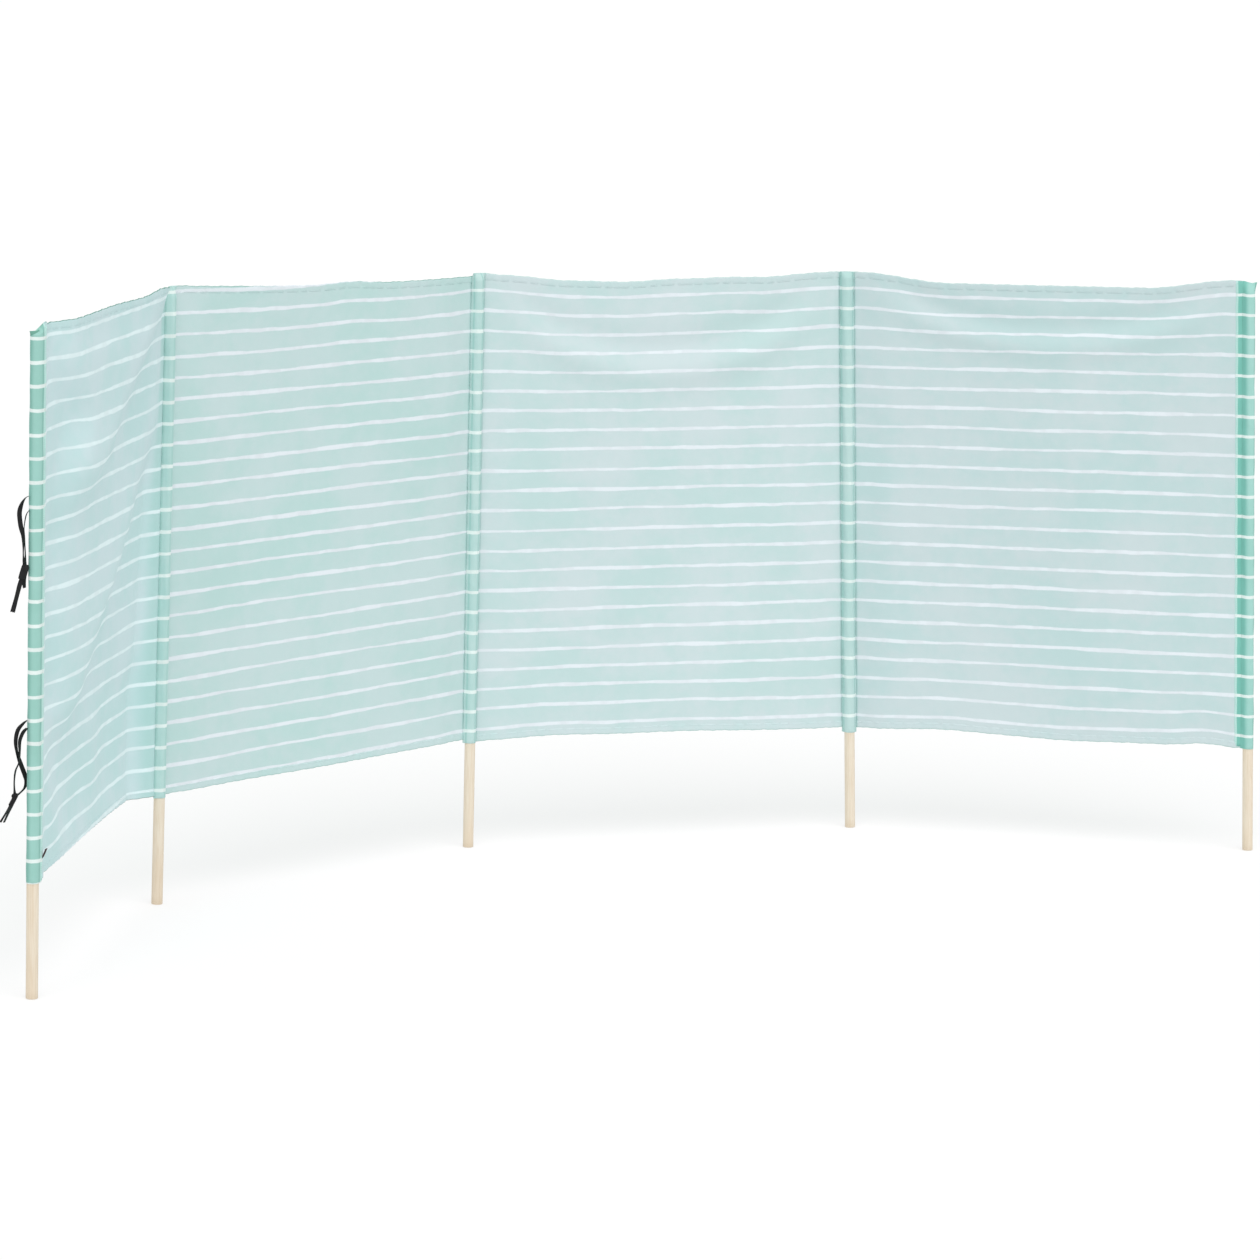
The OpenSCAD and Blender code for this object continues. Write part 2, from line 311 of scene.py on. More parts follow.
def wood_material():
    k = Nodes("pale_wood")
    tc = k.t.nodes.new("ShaderNodeTexCoord")
    s = k.t.nodes.new("ShaderNodeSeparateXYZ")
    k.link(tc.outputs["Object"], s.inputs[0])
    x, y, z = s.outputs
    fibre = k.noise(k.combine(k.math("MULTIPLY", x, 900.0), k.math("MULTIPLY", y, 900.0), k.math("MULTIPLY", z, 14.0)), 1.0, 4.0, 0.6)
    grain = k.noise(k.combine(k.math("MULTIPLY", x, 140.0), k.math("MULTIPLY", y, 140.0), k.math("MULTIPLY", z, 3.0)), 1.0, 3.0, 0.5)
    cloud = k.noise(k.combine(k.math("MULTIPLY", x, 30.0), k.math("MULTIPLY", y, 30.0), k.math("MULTIPLY", z, 6.0)), 1.0, 2.0)
    rings = k.math("SINE", k.math("MULTIPLY", grain, 46.0))
    base = k.mix(k.smooth(cloud, 0.35, 0.65), srgb(233, 222, 203), srgb(228, 213, 191))
    col = k.mix(k.smooth(rings, 0.1, 1.0, 0.0, 0.30), base, srgb(208, 188, 158))
    col = k.mix(k.smooth(fibre, 0.52, 0.72, 0.0, 0.24), col, srgb(198, 176, 144))
    # darker towards the cut foot
    darker_at_foot = k.smooth(z, 0.0, 0.02, 0.22, 0.0)
    col = k.mix(darker_at_foot, col, srgb(190, 166, 134))
    k.link(col, k.bsdf.inputs["Base Color"])
    k.link(k.bump(fibre, 0.35, 0.0004, k.bump(rings, 0.2, 0.0005)), k.bsdf.inputs["Normal"])
    k.link(k.math("ADD", 0.55, k.math("MULTIPLY", fibre, 0.2)), k.bsdf.inputs["Roughness"])
    k.bsdf.inputs["Specular IOR Level"].default_value = 0.35
    return k.mat


def tape_material(name="black_tape", dark=srgb(9, 9, 10), mid=srgb(22, 22, 24), light=srgb(40, 40, 43)):
    k = Nodes(name)
    u, v = k.uv()
    twill = k.math("SINE", k.math("MULTIPLY", k.math("ADD", u, v), 2 * math.pi / 0.0013))
    n = k.noise(k.combine(u, v, 1.0), 220.0, 3.0)
    col = k.mix(n, dark, mid)
    col = k.mix(k.smooth(twill, -0.2, 1.0, 0.0, 0.35), col, light)
    k.link(col, k.bsdf.inputs["Base Color"])
    k.link(k.bump(twill, 0.5, 0.0003), k.bsdf.inputs["Normal"])
    k.bsdf.inputs["Roughness"].default_value = 0.62
    k.bsdf.inputs["Sheen Weight"].default_value = 0.05
    k.bsdf.inputs["Specular IOR Level"].default_value = 0.3
    return k.mat


def thread_material(name, a, b):
    k = Nodes(name)
    tc = k.t.nodes.new("ShaderNodeTexCoord")
    n = k.noise(tc.outputs["Object"], 900.0, 2.0)
    k.link(k.mix(n, a, b), k.bsdf.inputs["Base Color"])
    k.link(k.bump(n, 0.5, 0.0002), k.bsdf.inputs["Normal"])
    k.bsdf.inputs["Roughness"].default_value = 0.6
    return k.mat


mat_wood = wood_material()
mat_tape = tape_material()
mat_loop = tape_material("brown_tape", srgb(66, 44, 46), srgb(92, 66, 66), srgb(118, 90, 88))
mat_thread = thread_material("thread_pale", srgb(192, 216, 215), srgb(212, 230, 229))
mat_thread_deep = thread_material("thread_mint", srgb(118, 180, 162), srgb(160, 208, 192))


# ------------------------------------------------------------------ mesh helper
def make_mesh(name, verts, faces, uvs=None, mats=(), face_mat=None, smooth=True):
    """uvs: one (u, v) per vertex. faces: lists of vertex numbers."""
    me = bpy.data.meshes.new(name)
    me.from_pydata([tuple(p) for p in verts], [], [tuple(f) for f in faces])
    for mt in mats:
        me.materials.append(mt)
    if uvs is not None:
        layer = me.uv_layers.new(name="cloth")
        idx = np.zeros(len(me.loops), np.int32)
        me.loops.foreach_get("vertex_index", idx)
        layer.data.foreach_set("uv", np.asarray(uvs, np.float32)[idx].ravel())
    if face_mat is not None:
        me.polygons.foreach_set("material_index", np.asarray(face_mat, np.int32))
    if smooth:
        me.polygons.foreach_set("use_smooth", np.ones(len(me.polygons), bool))
    me.update()
    me.validate()
    o = bpy.data.objects.new(name, me)
    bpy.context.scene.collection.objects.link(o)
    return o


# ------------------------------------------------------------------ cords: the black tape ties
def beside(p):
    q = axis_at(0, p[2] / 1000.0)
    return np.array([q[0] + p[0] / 1000.0, q[1] + p[1] / 1000.0, p[2] / 1000.0])


ROUTES = {
    "tie_upper_a": [(-11, -9, 906), (-17, -10, 902), (-23, -10, 892), (-27, -9, 876), (-25, -8, 854), (-21, -7, 836),
                    (-20, -7, 818), (-20, -8, 800), (-18, -9, 787), (-17, -9, 776), (-20, -9, 764), (-25, -10, 750),
                    (-31, -10, 726), (-38, -9, 699)],
    "tie_upper_b": [(-11, -9, 880), (-15, -6, 873), (-18, -1, 862), (-20, 0, 846), (-19, 1, 830), (-18, 0, 814),
                    (-17, -2, 798), (-17, -5, 786), (-17, -8, 776), (-18, -5, 766), (-19, -4, 754), (-18, -4, 742)],
    "tie_lower_a": [(-11, -9, 506), (-18, -10, 500), (-27, -10, 488), (-31, -8, 468), (-29, -4, 447), (-23, 2, 425),
                    (-17, 8, 406), (-14, 11, 393), (-17, 8, 381), (-25, 1, 372), (-33, -3, 366), (-41, -4, 349),
                    (-49, -4, 335), (-58, -5, 320)],
    "tie_lower_b": [(-11, -8, 492), (-18, -7, 484), (-24, -6, 468), (-24, -6, 448), (-25, -7, 430), (-31, -8, 414),
                    (-33, -8, 396), (-33, -6, 380), (-33, -3, 366), (-37, -1, 352), (-44, 1, 337), (-52, 2, 319)],
}
# turn of the tape about its own line at each route point: 0 shows its face from the hollow side, 90 its edge
TWISTS = {
    "tie_upper_a": [82, 78, 50, 12, 15, 50, 74, 84, 55, 60, 20, 20, 35, 12],
    "tie_upper_b": [85, 84, 86, 88, 88, 86, 80, 60, 20, 20, 40, 60],
    "tie_lower_a": [75, 55, 35, 45, 62, 35, 25, 35, 62, 66, 40, 60, 68, 64],
    "tie_lower_b": [60, 45, 50, 72, 78, 74, 80, 76, 50, 60, 66, 70],
}
TAPE_W, TAPE_T = 0.0085, 0.0007


def spline(points, per=6):
    """Catmull-Rom through the points."""
    p = [np.array(q, float) for q in points]
    p = [2 * p[0] - p[1]] + p + [2 * p[-1] - p[-2]]
    out = []
    for i in range(1, len(p) - 2):
        for s in range(per):
            t = s / per
            out.append(0.5 * (2 * p[i] + (p[i + 1] - p[i - 1]) * t + (2 * p[i - 1] - 5 * p[i] + 4 * p[i + 1] - p[i + 2]) * t * t
                              + (3 * p[i] - p[i - 1] - 3 * p[i + 1] + p[i + 2]) * t ** 3))
    out.append(p[-2])
    return np.array(out)


def ribbon(name, route, twists, width, thick, mat, ragged=True):
    line = spline(route, 6)
    tw = spline([[t, 0, 0] for t in twists], 6)[:, 0]
    n = len(line)
    tan = np.gradient(line, axis=0)
    tan /= np.linalg.norm(tan, axis=1)[:, None]
    side0 = np.cross(tan, np.array([0.0, 1.0, 0.0]))
    side0 /= np.linalg.norm(side0, axis=1)[:, None]
    nor0 = np.cross(side0, tan)
    a = np.radians(tw)[:, None]
    side = side0 * np.cos(a) + nor0 * np.sin(a)
    nor = np.cross(side, tan)
    dist = np.concatenate([[0], np.cumsum(np.linalg.norm(np.diff(line, axis=0), axis=1))])
    cols = 6
    verts, uvs = [], []
    for k in range(n):
        # a soft cupping across the tape, and a ragged cut at its last end
        for sgn in (-1, 1):
            for c in range(cols + 1):
                s = (c / cols - 0.5) * width
                cup = 0.0006 * math.sin(dist[k] * 95.0) * (1 - (2 * s / width) ** 2)
                lift = sgn * thick / 2 * (1 if 0 < c < cols else 0.4) + cup
                back = 0.0
                if ragged and k == n - 1:
                    back = 0.0006 * math.sin(c * 2.3)
                verts.append(line[k] + side[k] * s + nor[k] * lift + tan[k] * back)
                uvs.append((dist[k], s + (0.02 if sgn > 0 else 0)))
    w = cols + 1
    faces = []
    for k in range(n - 1):
        for c in range(cols):
            b0, b1 = k * 2 * w + c, (k + 1) * 2 * w + c
            faces.append((b0, b0 + 1, b1 + 1, b1))
            faces.append((b0 + w, b1 + w, b1 + w + 1, b0 + w + 1))
        for c, flip in ((0, False), (cols, True)):
            b0, b1 = k * 2 * w + c, (k + 1) * 2 * w + c
            f = (b0, b1, b1 + w, b0 + w)
            faces.append(f[::-1] if flip else f)
    for k, flip in ((0, True), (n - 1, False)):
        for c in range(cols):
            b0 = k * 2 * w + c
            f = (b0, b0 + w, b0 + w + 1, b0 + 1)
            faces.append(f[::-1] if flip else f)
    o = make_mesh(name, verts, faces, uvs, [mat])
    return o, line, dist[-1]


def knot_mesh(name, centre, size, turn):
    """A small overhand knot of the same tape: a trefoil loop with a flat section."""
    n, m_ = 84, 10
    t = np.linspace(0, 2 * math.pi, n, endpoint=False)
    base = np.stack([np.sin(t) + 2 * np.sin(2 * t), np.cos(t) - 2 * np.cos(2 * t), -np.sin(3 * t)], axis=1)
    base = base / 3.0 * size * np.array([0.85, 1.15, 0.9])
    r = Matrix.Rotation(turn, 3, "Z") @ Matrix.Rotation(math.radians(80), 3, "X")
    base = base @ np.array(r).T + centre
    tan = np.roll(base, -1, 0) - np.roll(base, 1, 0)
    tan /= np.linalg.norm(tan, axis=1)[:, None]
    out = base - centre
    out /= np.linalg.norm(out, axis=1)[:, None] + 1e-9
    nor = out - tan * np.sum(out * tan, axis=1)[:, None]
    nor /= np.linalg.norm(nor, axis=1)[:, None]
    bi = np.cross(tan, nor)
    verts, uvs = [], []
    for k in range(n):
        for j in range(m_):
            a = 2 * math.pi * j / m_
            verts.append(base[k] + bi[k] * 0.0031 * math.cos(a) + nor[k] * 0.0013 * math.sin(a))
            uvs.append((k * 0.0006, j * 0.0008))
    faces = [(k * m_ + j, k * m_ + (j + 1) % m_, ((k + 1) % n) * m_ + (j + 1) % m_, ((k + 1) % n) * m_ + j)
             for k in range(n) for j in range(m_)]
    return make_mesh(name, verts, faces, uvs, [mat_tape])


for name, knot_at in (("upper", (-17, -9, 776)), ("lower", (-33, -3, 366))):
    knot = knot_mesh(f"tape_knot_{name}", beside(knot_at), 0.0058, 0.4 if name == "upper" else -0.5)
    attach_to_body(knot, "bay_1")
    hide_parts(f"tie_{name}_knot")
    # the half-knot's flat turn of tape
    cx_, cy_, cz_ = knot_at
    turn = [(cx_ + 2, cy_ - 3, cz_ + 9), (cx_ + 1, cy_ - 4, cz_ + 3), (cx_ - 1, cy_ - 4, cz_ - 4), (cx_ - 3, cy_ - 4, cz_ - 11), (cx_ - 5, cy_ - 3, cz_ - 17)] \
        if name == "upper" else [(cx_ + 5, cy_ - 2, cz_ + 7), (cx_ + 2, cy_ - 3, cz_ + 2), (cx_ - 1, cy_ - 3, cz_ - 4), (cx_ - 4, cy_ - 3, cz_ - 10), (cx_ - 7, cy_ - 2, cz_ - 15)]
    fold, _, _ = ribbon(f"tape_fold_{name}", [beside(p) for p in turn], [50, 15, 5, 10, 35], 0.0135 if name == "upper" else 0.0085, 0.0012, mat_tape)
    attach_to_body(fold, "bay_1")
    for which in "ab":
        key = f"tie_{name}_{which}"
        o, line, length = ribbon(f"tape_{name}_{which}", [beside(p) for p in ROUTES[key]], TWISTS[key], TAPE_W, TAPE_T, mat_tape)
        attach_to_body(o, "bay_1")
        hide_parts(key)

# ------------------------------------------------------------------ cloth surface of each bay
# Height of a stripe at the left and right end of each bay's cloth, and at each pocket
POLE_PHASE = [1.184, 1.199, 1.167, 1.165, 1.181]
PHASE = [(1.184, 1.199), (1.1568, 1.167), (1.167, 1.165), (1.165, 1.181)]
# The cloth is a little slack or drawn at the poles, so the stripes stand nearer or further apart there
POLE_PITCH = [0.0424, 0.0422, 0.0418, 0.0418, 0.0425]
# Height of the cloth's top edge at the left and right end of each bay, and of each pocket
TOPS = [(1.2050, 1.2135), (1.2095, 1.1950), (1.2005, 1.1990), (1.1990, 1.2100)]
POLE_TOP = [1.2050, 1.2105, 1.2025, 1.2003, 1.2100]
# Height of the bottom edges
FEET_Z = [(0.2160, 0.2160), (0.2150, 0.2290), (0.2230, 0.2190), (0.2190, 0.2190)]
POLE_BOTTOM = [0.2110, 0.2120, 0.2220, 0.2090, 0.2190]


def bump1(x, c, w):
    return np.exp(-((x - c) / w) ** 2)


def sstep(x, a, b):
    t = np.clip((x - a) / (b - a), 0, 1)
    return t * t * (3 - 2 * t)


def ease(u, w=0.06):
    """Nothing moves at the sewn edges."""
    return sstep(u, 0, w) * sstep(1 - u, 0, w)


def ripples(u, z, seed, amp):
    rnd = random.Random(seed)
    total = np.zeros_like(u)
    for _ in range(7):
        fu, fz = rnd.uniform(0.8, 3.2), rnd.uniform(-1.6, 1.6)
        ph = rnd.uniform(0, 6.28)
        total = total + rnd.uniform(0.4, 1.0) / (0.6 + fu * 0.5) * np.sin(2 * math.pi * (fu * u + fz * z) + ph)
    return amp * total / 2.0


def top_z(i, u):
    a, b = TOPS[i]
    t = a + (b - a) * u
    if i == 0:
        t = t + 0.003 * bump1(u, 0.45, 0.16) + 0.0065 * bump1(u, 0.82, 0.09) - 0.0052 * sstep(u, 0.90, 1.0) + 0.0060 * (1 - sstep(u, 0.0, 0.035))
    return t


def foot_z(i, u):
    a, b = FEET_Z[i]
    return a + (b - a) * u


def bay_1_folds(q, z):
    """The left bay, seen almost edge-on: a hollow in its upper left, and a long fold that swings it back towards the second pole."""
    # the hollow, whose right-hand side runs down to the left
    qa = 0.10 + 0.10 * bump1(z, 1.02, 0.08) + 0.05 * (1 - sstep(z, 0.88, 1.0))
    qb = 0.44 + 1.55 * (z - 0.978)
    w = -(0.034 - 0.006 * sstep(z, 1.12, 1.19)) * sstep(q, qa - 0.06, qa + 0.06) * (1 - sstep(q, qb - 0.12, qb + 0.12)) * sstep(z, 0.81, 0.95)
    # the cloth between hollow and fold stands a little forward
    w = w - 0.007 * sstep(q, 0.13, 0.26) * sstep(z, 0.43, 0.51) * (1 - sstep(z, 0.93, 1.03))
    # the long fold
    q1 = np.where(z < 0.77, 0.41 + 1.05 * (z - 0.557), 0.634 + 0.7 * (z - 0.77))
    wide = 0.15 - 0.055 * sstep(z, 0.58, 0.70) + 0.02 * sstep(z, 0.86, 1.0)
    low = 1 - sstep(z, 0.42, 0.50)
    w = w + (0.056 - 0.04 * (z - 0.26)) * sstep(q, q1 - wide, q1 + wide) * (1 - sstep(z, 0.82, 1.08)) * (1 - low)
    # below it: a turn beside the left pocket, then another further back. Both fade into an even sweep at the very edge
    q3 = 0.11 + 0.5 * (0.43 - z)
    turns = 0.023 * sstep(q, q3 - 0.09, q3 + 0.09) + 0.008 * sstep(q, 0.20, 0.40) + 0.018 * sstep(q, 0.46, 0.63)
    sweep = 0.049 * sstep(q, -0.10, 0.80) - 0.003
    edge = 1 - sstep(z, 0.222, 0.290)
    w = w + low * (turns * (1 - edge) + sweep * edge)
    w = w + 0.013 * bump1(q, 0.11, 0.05) * sstep(z, 0.45, 0.53) * (1 - sstep(z, 0.80, 0.90))
    return w * sstep(q, 0.018, 0.075) * (1 - sstep(q, 0.775, 0.838))


def out_of_plane(i, u, z):
    """Offset to the back, in metres."""
    if i == 0:
        q = STARTS[0] + u * WIDTHS[0]
        w = bay_1_folds(q, z) - FRONT_BY * (1 - sstep(q, 0.010, 0.075)) + ripples(u, z, 11, 0.0010) * ease(u)
    elif i == 1:
        w = (ripples(u, z, 12, 0.0040) + 0.004 * np.sin(math.pi * u)) * ease(u)
    elif i == 2:
        arc = 1.155 - 0.16 * np.sin(math.pi * np.clip(u, 0, 1)) ** 0.8
        w = ripples(u, z, 13, 0.0035) - 0.0070 * bump1(z, arc, 0.035) * sstep(u, 0.03, 0.25) * sstep(1 - u, 0.03, 0.25)
        w = w + 0.0050 * bump1(z, arc + 0.06, 0.035) * sstep(u, 0.03, 0.2) * sstep(1 - u, 0.03, 0.2)
        w = w * ease(u)
    else:
        arc = 1.165 - 0.11 * np.sin(math.pi * np.clip(u, 0, 1))
        w = ripples(u, z, 14, 0.0035) - 0.0055 * bump1(z, arc, 0.030) * sstep(u, 0.03, 0.25) * sstep(1 - u, 0.03, 0.25)
        w = w + 0.0045 * bump1(z, arc + 0.05, 0.03) * sstep(u, 0.03, 0.2) * sstep(1 - u, 0.03, 0.2)
        w = w * ease(u)
    # the inner pockets are sewn at their back corners
    if i > 0:
        w = w + BACK_BY * (1 - sstep(u, 0.0, 0.10))
    if i < 3:
        w = w + BACK_BY * sstep(u, 0.90, 1.0)
    return w


def sag(i, u, z):
    """Drop of the cloth, in metres."""
    top = lambda reach: np.clip((z - (H - reach)) / reach, 0, 1)
    if i == 0:
        d = 0.0 * u
    elif i == 1:
        d = (0.0075 * np.sin(math.pi * u) - 0.005 * bump1(u, 0.58, 0.08)) * top(0.25)
    elif i == 2:
        d = (0.020 * bump1(u, 0.42, 0.27) + 0.004 * bump1(u, 0.20, 0.08) - 0.004 * bump1(u, 0.50, 0.08) + 0.007 * bump1(u, 0.79, 0.10)) * top(0.30)
        d = d - (0.007 * bump1(u, 0.20, 0.15) + 0.0065 * bump1(u, 0.55, 0.22)) * (1 - sstep(z, 0.25, 0.42))
    else:
        d = 0.0205 * sstep(u, 0.02, 0.25) * sstep(1 - u, 0.02, 0.25) * top(0.17)
        d = d - (0.006 * (bump1(u, 0.22, 0.12) + bump1(u, 0.9, 0.06)) - 0.004 * bump1(u, 0.55, 0.12)) * (1 - sstep(z, 0.25, 0.40))
    return d * ease(u, 0.05)


def bay_surface(i, u, z):
    """Points of bay i's middle surface for arrays u (0 to 1 between its sewn edges) and z (cloth height), with normals to the back."""
    def place(u_, z_):
        a = FEET[i][None, :] + np.array(LEANS[i])[None, :] * (z_ / H)[:, None]
        b = FEET[i + 1][None, :] + np.array(LEANS[i + 1])[None, :] * (z_ / H)[:, None]
        c = np.linalg.norm(b - a, axis=1)
        e = (b - a) / c[:, None]
        nrm = np.stack([-e[:, 1], e[:, 0]], axis=1)
        q = STARTS[i] + u_ * (c - STARTS[i] - ENDS[i])
        w = out_of_plane(i, u_, z_)
        xy = a + e * q[:, None] + nrm * w[:, None]
        return np.concatenate([xy, (z_ - sag(i, u_, z_))[:, None]], axis=1)
    p = place(u, z)
    du = place(np.clip(u + 1e-3, 0, 1), z) - place(np.clip(u - 1e-3, 0, 1), z)
    dz = place(u, z + 1e-3) - place(u, z - 1e-3)
    nn = np.cross(dz, du)
    nn /= np.linalg.norm(nn, axis=1)[:, None]
    return p, nn


BODY = ["bay_1", "bay_2", "bay_3", "bay_4"]


def stripe_v(i, u, z):
    a, b = PHASE[i]
    c, d = POLE_PITCH[i], POLE_PITCH[i + 1]
    return (z - (a + (b - a) * u)) * PITCH / (c + (d - c) * u)


def attach(o, i):
    """Bay 2's pieces ride on bay 2; the others keep their place, with their transform baked into the mesh."""
    if i == 1:
        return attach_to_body(o, "bay_2")
    if i == 0:
        pole, a, b, e = 1, "bay_2", "bay_1", -along(0) / BAY
    elif i == 2:
        pole, a, b, e = 2, "bay_2", "bay_3", along(2) / BAY
    else:
        pole, a, b, e = 3, "bay_3", "bay_4", along(3) / BAY
    up_ = pole_dir(pole)
    d = np.array([e[0], e[1], 0.0])
    d = d - up_ * float(d @ up_)
    d /= np.linalg.norm(d)
    c = axis_at(pole, 0.7)
    c = np.array([c[0], c[1], 0.7])
    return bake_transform(o)


def panel_mesh(i):
    nu, nz = 130, 150
    uu = np.linspace(0, 1, nu + 1)
    U, T = np.meshgrid(uu, np.linspace(0, 1, nz + 1))
    z0 = foot_z(i, U) + 0.0005
    Z = z0 + (top_z(i, U) - 0.0006 - z0) * T
    u, z = U.ravel(), Z.ravel()
    p, nn = bay_surface(i, u, z)
    half = 0.0004
    verts = np.concatenate([p - nn * half, p + nn * half])
    uv = np.stack([u * WIDTHS[i], stripe_v(i, u, z)], axis=1)
    uvs = np.concatenate([uv, uv])
    w = nu + 1
    N = len(u)
    faces, fm = [], []
    for r in range(nz):
        for c in range(nu):
            k = r * w + c
            faces.append((k, k + 1, k + 1 + w, k + w)); fm.append(0)
            faces.append((k + N, k + w + N, k + 1 + w + N, k + 1 + N)); fm.append(1)
    for c in range(nu):
        faces.append((c, c + N, c + 1 + N, c + 1)); fm.append(0)
        k = nz * w + c
        faces.append((k, k + 1, k + 1 + N, k + N)); fm.append(0)
    for r in range(nz):
        k = r * w
        faces.append((k, k + w, k + w + N, k + N)); fm.append(0)
        k = r * w + nu
        faces.append((k, k + N, k + w + N, k + w)); fm.append(0)
    return make_mesh(f"cloth_bay_{i + 1}", verts, faces, uvs, [mat_inner[i], mat_outer[i]], fm)


def stitch_run(points, normals, verts, faces, length=0.0026, gap=0.0012, r=0.00028):
    """Little thread stitches laid along a line of points, standing just proud along the normals."""
    seg = np.linalg.norm(np.diff(points, axis=0), axis=1)
    dist = np.concatenate([[0], np.cumsum(seg)])
    s = 0.001
    while s + length < dist[-1]:
        a = np.array([np.interp(s, dist, points[:, k]) for k in range(3)])
        b = np.array([np.interp(s + length, dist, points[:, k]) for k in range(3)])
        n = np.array([np.interp(s + length / 2, dist, normals[:, k]) for k in range(3)])
        n /= np.linalg.norm(n)
        t = (b - a) / np.linalg.norm(b - a)
        x = np.cross(t, n)
        mid = (a + b) / 2 + n * r * 1.1
        base = len(verts)
        verts.append(a - n * r * 0.3)
        for side in (x, n, -x, -n):
            verts.append(mid + side * r * (1.0 if side is not n else 0.9))
        verts.append(b - n * r * 0.3)
        for j in range(4):
            j2 = (j + 1) % 4
            faces.append((base, base + 1 + j2, base + 1 + j))
            faces.append((base + 5, base + 1 + j, base + 1 + j2))
        s += length + gap


def hem_mesh(i, top):
    """The folded hem: a rolled double edge that follows the cloth, with its row of stitches front and back."""
    nu = 220
    u = np.linspace(0, 1, nu + 1)
    hh = 0.0125
    z_in = (top_z(i, u) - hh) if top else foot_z(i, u) + hh
    z_out = top_z(i, u) if top else foot_z(i, u)
    sgn = 1 if top else -1
    p_in, n_in = bay_surface(i, u, z_in)
    p_out, _ = bay_surface(i, u, z_out)
    upv = p_out - p_in
    upv /= np.linalg.norm(upv, axis=1)[:, None]
    rnd = random.Random(70 + i * 2 + top)
    ph = [rnd.uniform(0, 6.28) for _ in range(4)]
    s = u * WIDTHS[i]
    puck = 0.00035 * np.sin(s * 2 * math.pi / 0.021 + ph[0]) + 0.0003 * np.sin(s * 2 * math.pi / 0.034 + ph[1])
    edge = 0.0004 * np.sin(s * 2 * math.pi / 0.047 + ph[2]) + 0.0003 * np.sin(s * 2 * math.pi / 0.018 + ph[3])
    # section: (across to the back, along up), going round
    sec = [(-0.00045, -0.0008), (-0.0007, 0.0012), (-0.0010, 0.0050), (-0.0012, 0.0098), (-0.0011, 0.0120), (-0.0006, 0.0131), (0.0006, 0.0131),
           (0.0013, 0.0120), (0.0014, 0.009), (0.0013, 0.0035), (0.0008, -0.0008)]
    m_ = len(sec)
    verts, uvs = [], []
    for k in range(nu + 1):
        for a, b in sec:
            wq = a + puck[k] * (1 if b > 0.001 else 0.3)
            verts.append(p_in[k] + n_in[k] * wq + upv[k] * (b + edge[k] * (b / 0.013)))
            uvs.append((s[k], stripe_v(i, u[k], z_in[k] + sgn * b)))
    faces, fm = [], []
    for k in range(nu):
        for j in range(m_):
            j2 = (j + 1) % m_
            f = (k * m_ + j, k * m_ + j2, (k + 1) * m_ + j2, (k + 1) * m_ + j)
            faces.append(f if sgn < 0 else f[::-1])
            # the rolled edge faces take the rim cloth; its darker tones are painted shade along the hem's edge
            fm.append(3 if 4 <= j <= 5 else 1 if 6 <= j <= 9 else 0)
    for k, flip in ((0, sgn < 0), (nu, sgn > 0)):
        f = tuple(k * m_ + j for j in range(m_))
        faces.append(f[::-1] if flip else f)
        fm.append(0)
    # stitches
    sv, sf = [], []
    for off, side in ((-0.0008, -1), (0.0013, 1)):
        pts = p_in + n_in * (off + puck)[:, None] + upv * 0.0024
        stitch_run(pts[2:-2], n_in[2:-2] * side, sv, sf)
    base = len(verts)
    verts += sv
    uvs += [(0.0, 0.0)] * len(sv)
    faces += [tuple(base + q for q in f) for f in sf]
    fm += [2] * len(sf)
    return make_mesh(f"{'top' if top else 'bottom'}_hem_cloth_{i + 1}", verts, faces, uvs,
                     [mat_inner[i], mat_outer[i], mat_thread, (mat_rim if top else mat_rim_low)[i]], fm)


